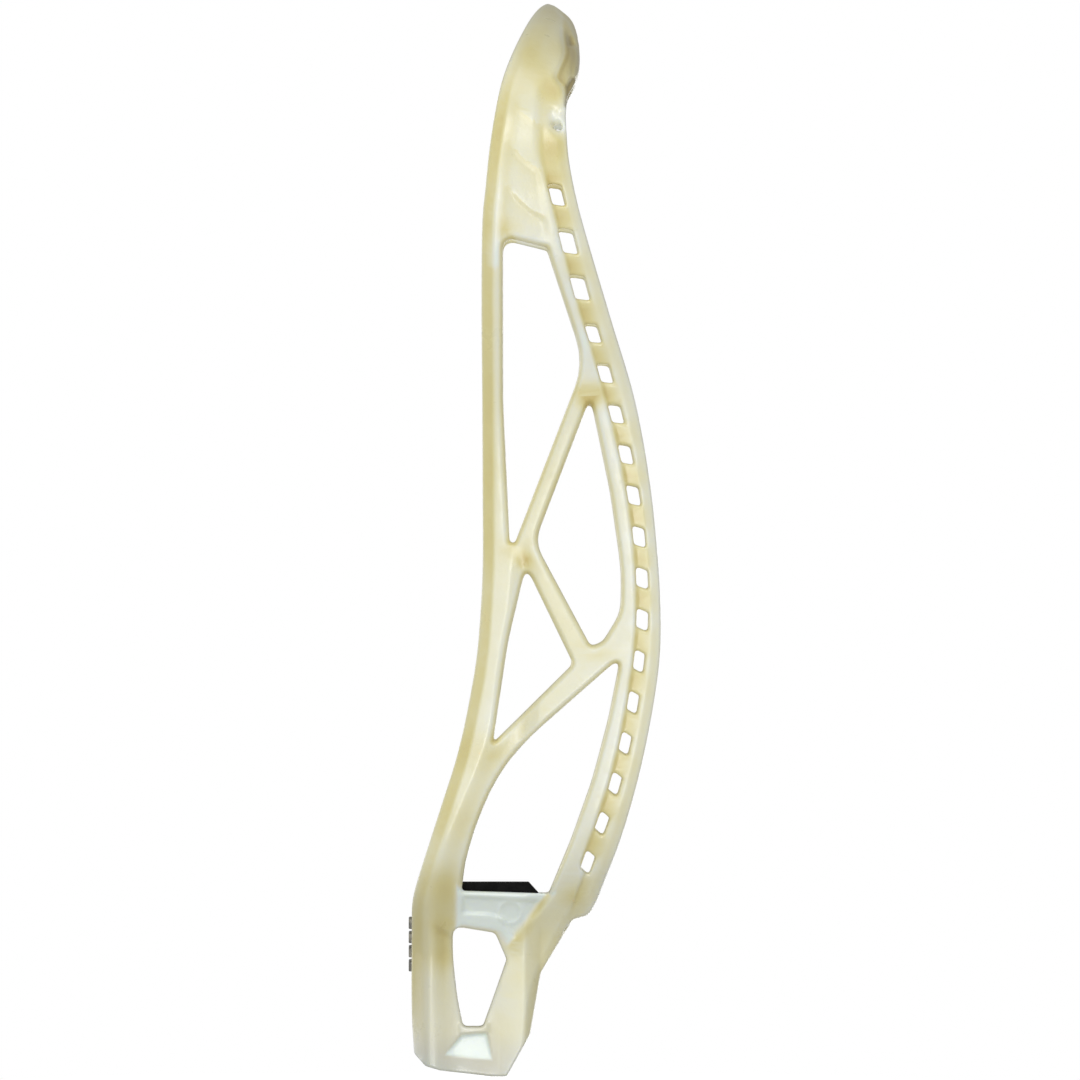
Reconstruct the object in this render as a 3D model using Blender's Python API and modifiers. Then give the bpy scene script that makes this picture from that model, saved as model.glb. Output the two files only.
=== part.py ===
"""An unstrung field lacrosse head: one moulded nylon frame, its foam ball stop and its shaft screw.

The frame is the body that two drawings share. The side drawing gives its outline, the truss windows
and the string holes, and runs straight through along Y. The front drawing gives the outer body and
the pocket, which both change with depth along X. The origin is the middle of the socket's mouth, on
the shaft's axis. +Z runs up the shaft's axis to the scoop, -X is the face that takes the ball, and
+X is the back that carries the strings. Sizes are in millimetres until they reach a mesh.
"""

import math

import bmesh
import bpy
from mathutils import Matrix, Vector

MM = 0.001
COLLECTION = "lacrosse_head"

# Driving dimensions
HEAD_TOP = 311.6
MOUTH_WIDTH, MOUTH_DEPTH = 31.0, 36.8  # the throat's outside, across Y and X
THROAT_CHAMFER = 4.5
CHAMFER_FADES = (34.0, 62.0)  # between these heights the throat's chamfers run out
SOCKET_WIDTH, SOCKET_DEPTH = 23.4, 26.4  # the bore for a 22 x 25 mm eight-sided shaft
SOCKET_CHAMFER = 5.6
SOCKET_TOP = 50.4
STOP_Z = 54.4  # the shelf that the foam lies on
STOP_HALF_WIDTH = 17.5
CUT_HALF_WIDTH = 95.0  # past the widest part of the frame
BELOW_MOUTH = 10.0

# The side outline, as (x, z): the face edge from the mouth to the tip, then the back edge going down
FACE_EDGE = [
    (-18.2, 7.3), (-18.9, 20.0), (-18.9, 44.0), (-18.6, 51.6), (-17.2, 57.4), (-15.4, 63.2), (-9.8, 80.6),
    (-6.1, 92.2), (-3.3, 103.8), (-0.5, 119.0), (0.8, 131.0), (1.7, 148.0), (1.7, 170.0), (1.6, 196.0),
    (1.4, 222.0), (1.6, 246.0), (2.5, 257.0), (4.1, 271.5), (6.7, 285.9), (9.7, 295.2), (14.0, 304.6),
    (17.2, 309.4), (20.4, HEAD_TOP),
]
SCOOP_BACK = [
    (22.7, 311.3), (26.1, 309.1), (28.3, 305.8), (29.9, 302.0), (30.3, 297.5), (29.9, 292.6), (28.3, 287.6),
    (26.3, 283.4), (25.8, 280.5),
]
BACK_EDGE = [
    (25.7, 277.5), (26.5, 266.2), (28.7, 254.6), (31.8, 243.0), (38.7, 219.8), (45.6, 196.6), (49.9, 173.4),
    (52.2, 152.0), (53.1, 135.7), (52.8, 121.2), (50.3, 104.0), (46.5, 86.4), (41.4, 69.0), (34.8, 51.8),
]
BACK_OF_THROAT = [
    (33.0, 48.4), (31.9, 47.3), (27.8, 46.1), (24.1, 40.0), (18.5, 30.7), (17.1, 22.6), (15.4, 12.8),
    (8.6, 0.6),
]
MOUTH_EDGE = [(4.3, 0.6), (-10.4, 2.3), (-14.9, 3.6)]

# The truss windows, as corners (x, z, radius). A large radius is a bend along an edge.
WINDOWS = {
    "long": [
        (7.5, 243.5, 3.4), (20.3, 240.3, 0.8), (31.1, 207.4, 22.0), (11.0, 155.2, 0.7), (9.5, 155.4, 1.2),
        (7.6, 196.0, 60.0),
    ],
    "upper": [
        (32.9, 197.5, 1.4), (38.6, 170.0, 90.0), (41.9, 147.0, 60.0), (41.6, 134.8, 12.0), (36.4, 126.4, 9.0),
        (33.0, 125.2, 1.6), (16.8, 155.4, 10.0),
    ],
    "lower": [(14.2, 148.4, 1.6), (27.9, 120.1, 2.6), (4.6, 97.1, 0.5), (9.1, 127.0, 90.0)],
    "stop": [
        (41.7, 122.3, 1.6), (38.0, 103.8, 90.0), (33.4, 86.4, 90.0), (27.2, 69.0, 90.0), (20.8, 53.7, 0.5),
        (-4.4, 54.5, 0.9), (-3.4, 63.0, 60.0), (-0.4, 73.0, 60.0), (3.6, 83.0, 60.0), (8.6, 91.5, 50.0),
        (16.0, 99.7, 60.0),
    ],
    "throat": [
        (-7.0, 44.2, 2.8), (5.3, 42.2, 1.8), (8.6, 34.5, 0.5), (1.7, 15.0, 1.3), (-4.0, 15.0, 1.3),
        (-5.7, 23.0, 60.0), (-7.0, 35.0, 60.0),
    ],
}

# The string holes stand along this line (x, z), counted from the throat
STRING_LINE = [
    (32.1, 62.6), (40.0, 85.3), (45.2, 108.8), (47.9, 132.5), (47.0, 156.6), (43.2, 180.4), (37.1, 204.2),
    (29.9, 228.5), (22.0, 260.0),
]
STRING_HOLES = 17
FIRST_HOLE = 0.1  # how far along the line the first hole's middle is
HOLE_PITCH = 12.05
LAST_HOLES, LAST_PITCH = 3, 13.75  # the holes nearest the scoop stand further apart
HOLE_SIZES = [(5.7, 3.1)] * 6 + [(5.5, 3.5)] * 8 + [(7.2, 4.2)] * 2 + [(6.2, 3.7)]  # length, width
HOLE_RADIUS = 0.6
HOLE_SLANT = math.radians(22)

# The front outline, as (y, z) from the mouth up to the middle of the scoop
OUTER_HALF = [
    (MOUTH_WIDTH / 2, -4.0), (MOUTH_WIDTH / 2, 14.0), (MOUTH_WIDTH / 2, 31.0), (17.2, 38.5), (21.6, 46.0),
    (28.6, 54.5), (35.4, 64.5), (39.8, 77.0), (42.2, 91.0), (43.8, 108.0), (45.4, 128.0), (47.9, 150.0),
    (52.4, 174.0), (59.8, 198.5), (68.9, 220.0), (77.0, 240.5), (82.2, 261.0), (81.3, 279.5), (72.6, 294.0),
    (55.6, 304.2), (30.6, 309.9), (0.0, HEAD_TOP),
]
POCKET_HALF = [
    (0.0, STOP_Z), (9.0, STOP_Z), (STOP_HALF_WIDTH, STOP_Z), (23.4, 56.0), (28.4, 61.6), (32.8, 70.5),
    (36.3, 86.0), (38.9, 108.0), (41.0, 128.0), (43.7, 150.0), (48.2, 175.2), (55.6, 200.4), (64.8, 222.2),
    (72.9, 241.8), (78.0, 260.5), (77.3, 276.6), (69.6, 290.6), (53.8, 300.9), (29.8, 307.0), (0.0, 309.2),
]
# How the arch of the scoop changes with depth, as (x, z of its top)
OUTER_DEPTHS = [
    (-26.0, 322.0), (-18.4, 320.0), (-10.9, 318.6), (0.0, 317.2), (10.9, 315.3), (17.6, 313.7), (20.6, 312.7),
    (24.4, 310.9), (27.4, 307.9), (29.4, 303.2), (30.2, 297.0), (30.5, 291.0), (32.7, 289.0), (44.0, 288.0),
    (58.0, 288.0),
]
POCKET_DEPTHS = [
    (-27.0, 318.0), (-10.0, 315.0), (0.0, 313.6), (10.0, 311.6), (17.2, 309.8), (20.6, 308.4), (23.4, 306.0),
    (25.4, 302.2), (26.6, 297.0), (27.4, 291.6), (28.4, 289.0), (30.2, 288.0), (44.0, 287.0), (59.0, 287.0),
]
ARCH_BASE = 200.0  # below this height the front outline is the same at every depth
LEAN = [(60.0, 0.0), (90.0, 1.8), (140.0, 1.6), (190.0, 0.6), (240.0, -1.0), (320.0, -1.0)]
LEAN_MIDDLE_X, LEAN_DEPTH = 26.0, 25.0
LEAN_FULL_Y = 30.0  # nearer the middle than this, the lean fades

# Holes for the strings in the back of the scoop, as (y, z) on its rear face
SCOOP_HOLES = [(0.0, 297.6), (15.0, 296.8), (30.0, 294.4), (44.5, 290.2)]
SCOOP_HOLE_LENGTH, SCOOP_HOLE_WIDTH, SCOOP_HOLE_RADIUS = 6.0, 4.0, 1.0
SCOOP_HOLE_X, SCOOP_HOLE_REACH = 31.0, 7.0
# The slanting hole where a sidewall turns into the scoop, from outside to inside the wall
TOP_HOLE_START, TOP_HOLE_END, TOP_HOLE_RADIUS = (16.8, 88.0, 278.6), (32.8, 62.0, 276.0), 1.6

# Holes for the bottom strings in the ledge behind the throat
LEDGE_HOLE_Y, LEDGE_HOLE_X, LEDGE_HOLE_RADIUS = (4.5, 13.5), 27.0, 1.9
LEDGE_HOLE_ENDS = (30.0, 66.0)

# The screw that holds a shaft, in the back of the throat
SCREW_Z = 23.0
SCREW_HEAD_RADIUS, SCREW_HEAD_HEIGHT = 3.6, 2.0
SHANK_RADIUS, SCREW_LENGTH, SCREW_POINT = 1.45, 9.4, 2.6
THREAD_DEPTH, THREAD_PITCH = 0.45, 1.4
SCREW_FIT = 0.3
COUNTERBORE_FLOOR_X = 14.4
BEHIND_THROAT_X = 30.0

# The foam pad on the shelf
FOAM_GAP = 0.3
FOAM_THICKNESS = 2.2
FOAM_FRONT_X, FOAM_BACK_X, FOAM_CHAMFER = -14.6, 18.4, 3.0
FOAM_HALF_WIDTH = 16.6
FOAM_ROUND = 1.2

# The raised bars on the front of the throat
BAR_COUNT, BAR_FIRST_Z, BAR_STEP = 4, 32.7, 4.1
BAR_LENGTH, BAR_HEIGHT, BAR_PROUD, BAR_DEPTH = 11.0, 2.8, 0.9, 3.0
BAR_SLANT = math.radians(4)

NYLON = ("nylon", (0.80, 0.76, 0.58), 0.32, 0.0)
FOAM = ("foam", (0.012, 0.012, 0.012), 0.9, 0.0)
STEEL = ("steel", (0.56, 0.56, 0.57), 0.3, 1.0)


# ---------------------------------------------------------------- drawing

def curve_through(points, steps):
    """Points along a smooth curve that passes through all of these, with steps to each span."""
    before = [2 * a - b for a, b in zip(points[0], points[1])]
    after = [2 * a - b for a, b in zip(points[-1], points[-2])]
    p = [before, *points, after]
    found = []
    for i in range(1, len(p) - 2):
        for k in range(steps):
            t = k / steps
            found.append(tuple(
                b + 0.5 * t * (c - a + t * (2 * a - 5 * b + 4 * c - d + t * (3 * b - a - 3 * c + d)))
                for a, b, c, d in zip(p[i - 1], p[i], p[i + 1], p[i + 2])
            ))
    found.append(tuple(points[-1]))
    return found


def rounded(corners, most_turn=math.radians(24)):
    """A closed outline with an arc at each corner (x, z, radius), of at most this turn to a side."""
    found = []
    for i, (x, z, radius) in enumerate(corners):
        here = Vector((x, z))
        back = Vector(corners[i - 1][:2]) - here
        ahead = Vector(corners[(i + 1) % len(corners)][:2]) - here
        turn = math.pi - back.angle(ahead)
        reach = min(radius * math.tan(turn / 2), 0.45 * back.length, 0.45 * ahead.length)
        start, end = here + back.normalized() * reach, here + ahead.normalized() * reach
        sides = max(1, math.ceil(turn / most_turn))
        for k in range(sides + 1):
            t = k / sides
            found.append(tuple(start * (1 - t) ** 2 + here * 2 * t * (1 - t) + end * t**2))
    return found


def between(table, x):
    """The value at x on the straight lines through a table of (x, value)."""
    for (x0, v0), (x1, v1) in zip(table, table[1:]):
        if x <= x1:
            return v0 + (v1 - v0) * max(0.0, x - x0) / (x1 - x0)
    return table[-1][1]


def smooth_step(value, low, high):
    t = min(1.0, max(0.0, (value - low) / (high - low)))
    return t * t * (3 - 2 * t)


# ---------------------------------------------------------------- objects

def link(obj, collection, material=None):
    bpy.data.collections[collection].objects.link(obj)
    if material:
        obj.data.materials.append(material)
    if collection == "cutters":
        obj.hide_render = True
        obj.display_type = "WIRE"
    return obj


def make_material(name, colour, roughness, metallic):
    material = bpy.data.materials.new(name)
    material.use_nodes = True
    shader = material.node_tree.nodes["Principled BSDF"]
    shader.inputs["Base Color"].default_value = (*colour, 1.0)
    shader.inputs["Roughness"].default_value = roughness
    shader.inputs["Metallic"].default_value = metallic
    return material


def mesh_object(name, bm, collection, material=None):
    mesh = bpy.data.meshes.new(name)
    bm.to_mesh(mesh)
    bm.free()
    return link(bpy.data.objects.new(name, mesh), collection, material)


def plate(name, outlines, half_thickness, collection, matrix):
    """Flat outlines in millimetres, extruded both ways from their own plane and set in place."""
    curve = bpy.data.curves.new(name, "CURVE")
    curve.dimensions = "2D"
    curve.fill_mode = "BOTH"
    curve.extrude = half_thickness * MM
    for outline in outlines:
        spline = curve.splines.new("POLY")
        spline.points.add(len(outline) - 1)
        spline.use_cyclic_u = True
        for point, (u, v) in zip(spline.points, outline):
            point.co = (u * MM, v * MM, 0, 1)
    drawn = bpy.data.objects.new(name + "_outline", curve)
    bpy.context.scene.collection.objects.link(drawn)
    drawn.matrix_world = matrix
    bpy.context.view_layer.update()
    graph = bpy.context.evaluated_depsgraph_get()
    mesh = bpy.data.meshes.new_from_object(drawn.evaluated_get(graph))
    mesh.transform(drawn.matrix_world)
    bpy.data.objects.remove(drawn)
    bm = bmesh.new()
    bm.from_mesh(mesh)
    bmesh.ops.remove_doubles(bm, verts=bm.verts, dist=1e-6)
    bmesh.ops.recalc_face_normals(bm, faces=bm.faces)
    return mesh_object(name, bm, collection)


SIDE_VIEW = Matrix.Rotation(math.radians(90), 4, "X")  # a drawing's x and y become X and Z
BACK_VIEW = Matrix(((0, 0, 1, 0), (1, 0, 0, 0), (0, 1, 0, 0), (0, 0, 0, 1)))  # they become Y and Z


def cut(obj, other, operation="DIFFERENCE", solver="EXACT"):
    boolean = obj.modifiers.new(other.name, "BOOLEAN")
    boolean.operation = operation
    boolean.solver = solver
    boolean.object = other


# ---------------------------------------------------------------- the frame's outer body and pocket

def at_depth(half, arch_top, table_top, x, is_outer):
    """The front outline at this depth: the arch reaches arch_top, walls lean, the throat is eight-sided."""
    found = []
    for y, z in half:
        if z > ARCH_BASE:
            z = ARCH_BASE + (z - ARCH_BASE) * (arch_top - ARCH_BASE) / (table_top - ARCH_BASE)
        lean = between(LEAN, z) * (x - LEAN_MIDDLE_X) / LEAN_DEPTH * min(1.0, y / LEAN_FULL_Y)
        y = max(0.0, y + lean)
        if is_outer:
            flat = MOUTH_DEPTH / 2 - THROAT_CHAMFER
            narrow = max(0.0, min(abs(x) - flat, THROAT_CHAMFER)) * (1 - smooth_step(z, *CHAMFER_FADES))
            y = max(0.0, y - narrow)
        found.append((y, z))
    return found


def loft(name, half, depths, table_top, is_outer, steps):
    """A closed body whose section at each depth is the front outline there, on both sides of Y = 0."""
    bm = bmesh.new()
    rings = []
    for x, arch_top in depths:
        side = at_depth(curve_through(half, steps), arch_top, table_top, x, is_outer)
        on_axis = 1 if side[0][0] < 1e-6 else 0  # where the outline starts on Y = 0, that point isn't doubled
        loop = side + [(-y, z) for y, z in reversed(side[on_axis:-1])]
        rings.append([bm.verts.new((x * MM, y * MM, z * MM)) for y, z in loop])
    for a, b in zip(rings, rings[1:]):
        for i in range(len(a)):
            j = (i + 1) % len(a)
            bm.faces.new((a[i], a[j], b[j], b[i]))
    bm.faces.new(rings[0])
    bm.faces.new(rings[-1])
    bmesh.ops.recalc_face_normals(bm, faces=bm.faces)
    return mesh_object(name, bm, "cutters")


def octagon(width, depth, chamfer):
    """(x, y) corners of an eight-sided section, width across Y and depth across X."""
    a, b = depth / 2, width / 2
    return [
        (a, b - chamfer), (a - chamfer, b), (chamfer - a, b), (-a, b - chamfer),
        (-a, chamfer - b), (chamfer - a, -b), (a - chamfer, -b), (a, chamfer - b),
    ]


def string_hole_places():
    """(middle, direction of the line) of each string hole, walked along the line by the pitch."""
    line = [Vector(point) for point in curve_through(STRING_LINE, 12)]
    places = []
    walked, wanted = 0.0, FIRST_HOLE
    for a, b in zip(line, line[1:]):
        step = b - a
        while len(places) < STRING_HOLES and walked + step.length >= wanted:
            places.append((a + step * ((wanted - walked) / step.length), step.normalized()))
            wanted += HOLE_PITCH if len(places) < STRING_HOLES - LAST_HOLES else LAST_PITCH
        walked += step.length
    return places


def string_hole(middle, along, length, width):
    """A slanted four-sided hole with small round corners."""
    inward = Vector((-along.y, along.x))
    half_length, half_width = length / 2, width / 2
    slant = half_width * math.tan(HOLE_SLANT)
    corners = []
    for u, v in ((1, 1), (1, -1), (-1, -1), (-1, 1)):
        point = middle + along * (u * half_length + v * slant) + inward * (v * half_width)
        corners.append((point.x, point.y, HOLE_RADIUS))
    return rounded(corners, math.radians(60))


def side_body():
    """The side drawing as a thick plate, with its windows and its string holes."""
    outline = curve_through(FACE_EDGE, 3)
    outline += curve_through(SCOOP_BACK, 2)
    outline += curve_through(BACK_EDGE, 3)
    outline += BACK_OF_THROAT + MOUTH_EDGE
    return plate("side_outline", [outline], CUT_HALF_WIDTH, "cutters", SIDE_VIEW)


def window_cutters():
    outlines = [rounded(corners) for corners in WINDOWS.values()]
    return plate("windows", outlines, CUT_HALF_WIDTH, "cutters", SIDE_VIEW)


def string_hole_cutters():
    outlines = [string_hole(*place, *size) for place, size in zip(string_hole_places(), HOLE_SIZES)]
    return plate("string_holes", outlines, CUT_HALF_WIDTH, "cutters", SIDE_VIEW)


def scoop_hole_cutters():
    """Oblong holes through the rear face of the scoop, cut along X."""
    outlines = []
    half_length, half_width = SCOOP_HOLE_LENGTH / 2, SCOOP_HOLE_WIDTH / 2
    for y, z in SCOOP_HOLES:
        for side in (1, -1) if y else (1,):
            corners = [
                (side * y + u * half_length, z + v * half_width, SCOOP_HOLE_RADIUS)
                for u, v in ((1, 1), (-1, 1), (-1, -1), (1, -1))
            ]
            outlines.append(rounded(corners, math.radians(60)))
    place = Matrix.Translation((SCOOP_HOLE_X * MM, 0, 0)) @ BACK_VIEW
    return plate("scoop_holes", outlines, SCOOP_HOLE_REACH, "cutters", place)


def socket_cutter():
    outline = octagon(SOCKET_WIDTH, SOCKET_DEPTH, SOCKET_CHAMFER)
    middle = Matrix.Translation((0, 0, (SOCKET_TOP - BELOW_MOUTH) / 2 * MM))
    return plate("socket", [outline], (SOCKET_TOP + BELOW_MOUTH) / 2, "cutters", middle)


def cylinder(name, radius, start, end, collection, sides=24):
    """A round bar from start to end."""
    start, end = Vector(start), Vector(end)
    bm = bmesh.new()
    bmesh.ops.create_cone(
        bm, cap_ends=True, segments=sides, radius1=radius * MM, radius2=radius * MM,
        depth=(end - start).length * MM,
    )
    turn = (end - start).to_track_quat("Z", "Y").to_matrix().to_4x4()
    bm.transform(Matrix.Translation((start + end) / 2 * MM) @ turn)
    return mesh_object(name, bm, collection)


def bar_on_throat(index):
    """One raised slanting bar on the front of the throat, sunk well into its wall."""
    bm = bmesh.new()
    bmesh.ops.create_cube(bm, size=1.0)
    bm.transform(Matrix.Diagonal((BAR_DEPTH * MM, BAR_LENGTH * MM, BAR_HEIGHT * MM, 1)))
    x = -MOUTH_DEPTH / 2 - BAR_PROUD + BAR_DEPTH / 2
    place = Matrix.Translation((x * MM, 0, (BAR_FIRST_Z + index * BAR_STEP) * MM))
    bm.transform(place @ Matrix.Rotation(BAR_SLANT, 4, "X"))
    return mesh_object(f"bar_{index + 1}", bm, "cutters")


def make_frame(material):
    frame = loft("head_frame", OUTER_HALF, OUTER_DEPTHS, HEAD_TOP, True, 2)
    bpy.data.collections["cutters"].objects.unlink(frame)
    frame.hide_render = False
    frame.display_type = "SOLID"
    link(frame, COLLECTION, material)
    pocket = loft("pocket", POCKET_HALF, POCKET_DEPTHS, POCKET_HALF[-1][1], False, 2)
    cut(frame, side_body(), "INTERSECT")
    cut(frame, pocket)
    cut(frame, socket_cutter())
    cut(frame, window_cutters())
    cut(frame, string_hole_cutters())
    cut(frame, scoop_hole_cutters())
    for side in (1, -1):
        start, end = ((x, side * y, z) for x, y, z in (TOP_HOLE_START, TOP_HOLE_END))
        top_hole = cylinder(f"top_hole_{side}", TOP_HOLE_RADIUS, start, end, "cutters", 12)
        cut(frame, top_hole, solver="MANIFOLD")  # the exact solver loses the frame at this cut
        for number, y in enumerate(LEDGE_HOLE_Y):
            start, end = ((LEDGE_HOLE_X, side * y, z) for z in LEDGE_HOLE_ENDS)
            name = f"ledge_hole_{number}_{side}"
            cut(frame, cylinder(name, LEDGE_HOLE_RADIUS, start, end, "cutters", 12))
    inside, floor, behind = (
        (x, 0, SCREW_Z) for x in (SOCKET_DEPTH / 4, COUNTERBORE_FLOOR_X, BEHIND_THROAT_X)
    )
    thread_fit = SHANK_RADIUS + THREAD_DEPTH + SCREW_FIT
    cut(frame, cylinder("screw_hole", thread_fit, inside, behind, "cutters"))
    cut(frame, cylinder("screw_recess", SCREW_HEAD_RADIUS + SCREW_FIT, floor, behind, "cutters"))
    for index in range(BAR_COUNT):
        cut(frame, bar_on_throat(index), "UNION")
    return frame


# ---------------------------------------------------------------- the foam and the screw

def make_foam(material):
    """A flat strip of closed-cell foam that lies on the shelf, cut back at its rear edge."""
    low = STOP_Z + FOAM_GAP
    high = low + FOAM_THICKNESS
    outline = rounded([
        (FOAM_FRONT_X, low, 0.3), (FOAM_BACK_X, low, 0.3), (FOAM_BACK_X - FOAM_CHAMFER, high, 0.8),
        (FOAM_FRONT_X, high, FOAM_ROUND),
    ])
    foam = plate("ball_stop_foam", [outline], FOAM_HALF_WIDTH, COLLECTION, SIDE_VIEW)
    foam.data.materials.append(material)
    return foam


def make_screw(material):
    """A pan-head self-tapping screw, turned about X, with its thread as turned ridges and a cross recess."""
    under_head = COUNTERBORE_FLOOR_X + SCREW_FIT
    top = under_head + SCREW_HEAD_HEIGHT
    tip = under_head - SCREW_LENGTH
    profile = [(top, 0.0), (top, 0.62 * SCREW_HEAD_RADIUS), (top - 0.7, 0.93 * SCREW_HEAD_RADIUS)]
    profile += [(top - 1.3, SCREW_HEAD_RADIUS), (under_head, SCREW_HEAD_RADIUS), (under_head, SHANK_RADIUS)]
    x = under_head - 0.8
    while x - THREAD_PITCH > tip + SCREW_POINT:
        profile += [(x, SHANK_RADIUS), (x - THREAD_PITCH / 2, SHANK_RADIUS + THREAD_DEPTH)]
        x -= THREAD_PITCH
    profile += [(x, SHANK_RADIUS), (tip, 0.0)]
    mesh = bpy.data.meshes.new("shaft_screw")
    # The profile is drawn in the plane of X and Z, with the turning axis along the object's own X.
    edges = [(i, i + 1) for i in range(len(profile) - 1)]
    mesh.from_pydata([(x * MM, 0, r * MM) for x, r in profile], edges, [])
    screw = bpy.data.objects.new("shaft_screw", mesh)
    link(screw, COLLECTION, material)
    screw.location = (0, 0, SCREW_Z * MM)
    turn = screw.modifiers.new("turn", "SCREW")
    turn.axis = "X"
    turn.steps = turn.render_steps = 20
    turn.use_merge_vertices = True
    turn.merge_threshold = 0.00001
    bm = bmesh.new()
    for angle in (0, 90):
        bmesh.ops.create_cube(bm, size=1.0, matrix=(
            Matrix.Translation(((top + 0.1) * MM, 0, SCREW_Z * MM))
            @ Matrix.Rotation(math.radians(angle), 4, "X")
            @ Matrix.Diagonal((2.6 * MM, 0.9 * MM, 3.6 * MM, 1))
        ))
    recess = mesh_object("cross_recess", bm, "cutters")
    recess_cut = screw.modifiers.new("cross_recess", "BOOLEAN")
    recess_cut.operation = "DIFFERENCE"
    recess_cut.solver = "EXACT"
    recess_cut.use_self = True
    recess_cut.object = recess
    return screw


def main():
    for obj in list(bpy.data.objects):
        bpy.data.objects.remove(obj)
    for name in (COLLECTION, "cutters"):
        bpy.context.scene.collection.children.link(bpy.data.collections.new(name))
    make_frame(make_material(*NYLON))
    make_foam(make_material(*FOAM))
    make_screw(make_material(*STEEL))


main()
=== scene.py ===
"""The looks of an unstrung lacrosse head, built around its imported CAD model.

The moulded frame is replaced by a finer mesh of the same shape. Its surface is the zero level of a
distance field, which is put together like the mould: a side drawing (outline, truss windows, string
holes) meets a front drawing (outer body, pocket), and the relief of the outer face is cut into it.
The drawings' sizes are in millimetres, in the CAD model's frame.
"""

import math

import bmesh
import bpy
import numpy as np
import openvdb
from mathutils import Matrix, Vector, noise


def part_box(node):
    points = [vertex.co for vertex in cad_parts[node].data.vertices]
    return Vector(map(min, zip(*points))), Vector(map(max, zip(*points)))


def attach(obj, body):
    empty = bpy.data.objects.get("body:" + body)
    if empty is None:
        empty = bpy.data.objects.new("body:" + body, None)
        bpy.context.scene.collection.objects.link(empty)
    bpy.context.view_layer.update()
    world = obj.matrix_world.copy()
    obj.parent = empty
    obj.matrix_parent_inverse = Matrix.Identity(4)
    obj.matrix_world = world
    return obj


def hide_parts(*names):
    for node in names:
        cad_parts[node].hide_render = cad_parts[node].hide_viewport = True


MM = 0.001
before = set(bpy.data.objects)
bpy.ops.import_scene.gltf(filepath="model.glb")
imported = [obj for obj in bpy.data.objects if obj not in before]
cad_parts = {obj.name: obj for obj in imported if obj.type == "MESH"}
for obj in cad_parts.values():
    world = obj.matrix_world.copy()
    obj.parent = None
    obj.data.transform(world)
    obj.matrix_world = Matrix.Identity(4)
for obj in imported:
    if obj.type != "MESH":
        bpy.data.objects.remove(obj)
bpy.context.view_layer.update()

# ---------------------------------------- the field's grid

CELL = 0.42
FIELD_REACH = 2.5  # beyond this far from the surface, the field's value doesn't matter
X_AXIS = np.arange(-23.0, 58.0, CELL)
Y_AXIS = np.arange(0.0, 87.0, CELL)  # half of the head; the other half mirrors it
Z_AXIS = np.arange(-3.0, 315.5, CELL)
SIDE_X, SIDE_Z = np.meshgrid(X_AXIS, Z_AXIS, indexing="ij")
FRONT_CELL, FRONT_LOW_Z = 0.5, -16.0  # the front drawing's own grid is flat and starts at Y = 0
FRONT_Y, FRONT_Z = np.meshgrid(
    np.arange(0.0, 96.0, FRONT_CELL), np.arange(FRONT_LOW_Z, 340.0, FRONT_CELL), indexing="ij"
)
MOST_TRIANGLES = 198000
MENDING_ROUNDS = 3
LEAST_AGREEMENT = 0.35  # between a face's normal and the field's slope; a face below it is folded over

# ---------------------------------------- the side drawing, as (x, z)

HEAD_TOP = 311.6
FACE_EDGE = [
    (-18.2, 7.3), (-18.9, 20.0), (-18.9, 44.0), (-18.6, 51.6), (-17.2, 57.4), (-15.4, 63.2), (-9.8, 80.6),
    (-6.1, 92.2), (-3.3, 103.8), (-0.5, 119.0), (0.8, 131.0), (1.7, 148.0), (1.7, 170.0), (1.6, 196.0),
    (1.4, 222.0), (1.6, 246.0), (2.5, 257.0), (4.1, 271.5), (6.7, 285.9), (9.8, 295.2), (14.2, 304.3),
    (17.5, 309.2), (20.4, HEAD_TOP),
]
SCOOP_BACK = [
    (22.4, 310.8), (24.7, 309.0), (27.0, 307.0), (28.3, 304.8), (29.3, 301.3), (29.9, 297.2), (30.1, 294.3),
    (29.3, 290.8), (28.3, 287.6), (26.3, 283.8), (25.8, 280.5),
]
BACK_EDGE = [
    (25.7, 277.5), (26.5, 266.2), (28.7, 254.6), (31.8, 243.0), (38.7, 219.8), (45.6, 196.6), (49.9, 173.4),
    (52.2, 152.0), (53.1, 135.7), (52.8, 121.2), (50.3, 104.0), (46.5, 86.4), (41.4, 69.0), (34.8, 51.8),
]
BACK_OF_THROAT = [
    (33.0, 48.4), (31.9, 47.3), (27.8, 46.1), (24.1, 40.0), (18.5, 30.7), (17.1, 22.6), (15.4, 12.8),
    (8.6, 0.6),
]
MOUTH_EDGE = [(4.3, 0.6), (-10.4, 2.3), (-14.9, 3.6)]

# The truss windows, as corners (x, z, radius). A large radius is a bend along an edge.
WINDOWS = [
    [
        (7.5, 243.5, 3.4), (20.3, 240.3, 0.8), (31.1, 207.4, 22.0), (11.0, 155.2, 0.7),
        (9.5, 155.4, 1.2), (7.6, 196.0, 60.0),
    ],
    [
        (32.9, 197.5, 1.4), (38.6, 170.0, 90.0), (41.9, 147.0, 60.0), (41.6, 134.8, 12.0),
        (36.4, 126.4, 9.0), (33.0, 125.2, 1.6), (16.8, 155.4, 10.0),
    ],
    [(14.2, 148.4, 1.6), (27.9, 120.1, 2.6), (4.6, 97.1, 0.5), (9.1, 127.0, 90.0)],
    [
        (41.7, 122.3, 1.6), (38.0, 103.8, 90.0), (33.4, 86.4, 90.0), (27.2, 69.0, 90.0),
        (20.8, 53.7, 0.5), (-4.4, 54.5, 0.9), (-3.4, 63.0, 60.0), (-0.4, 73.0, 60.0),
        (3.6, 83.0, 60.0), (8.6, 91.5, 50.0), (16.0, 99.7, 60.0),
    ],
]
THROAT_WINDOW = [
    (-7.0, 44.2, 2.8), (5.3, 42.2, 1.8), (8.6, 34.5, 0.5), (1.7, 15.0, 1.3), (-4.0, 15.0, 1.3),
    (-5.7, 23.0, 60.0), (-7.0, 35.0, 60.0),
]

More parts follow.
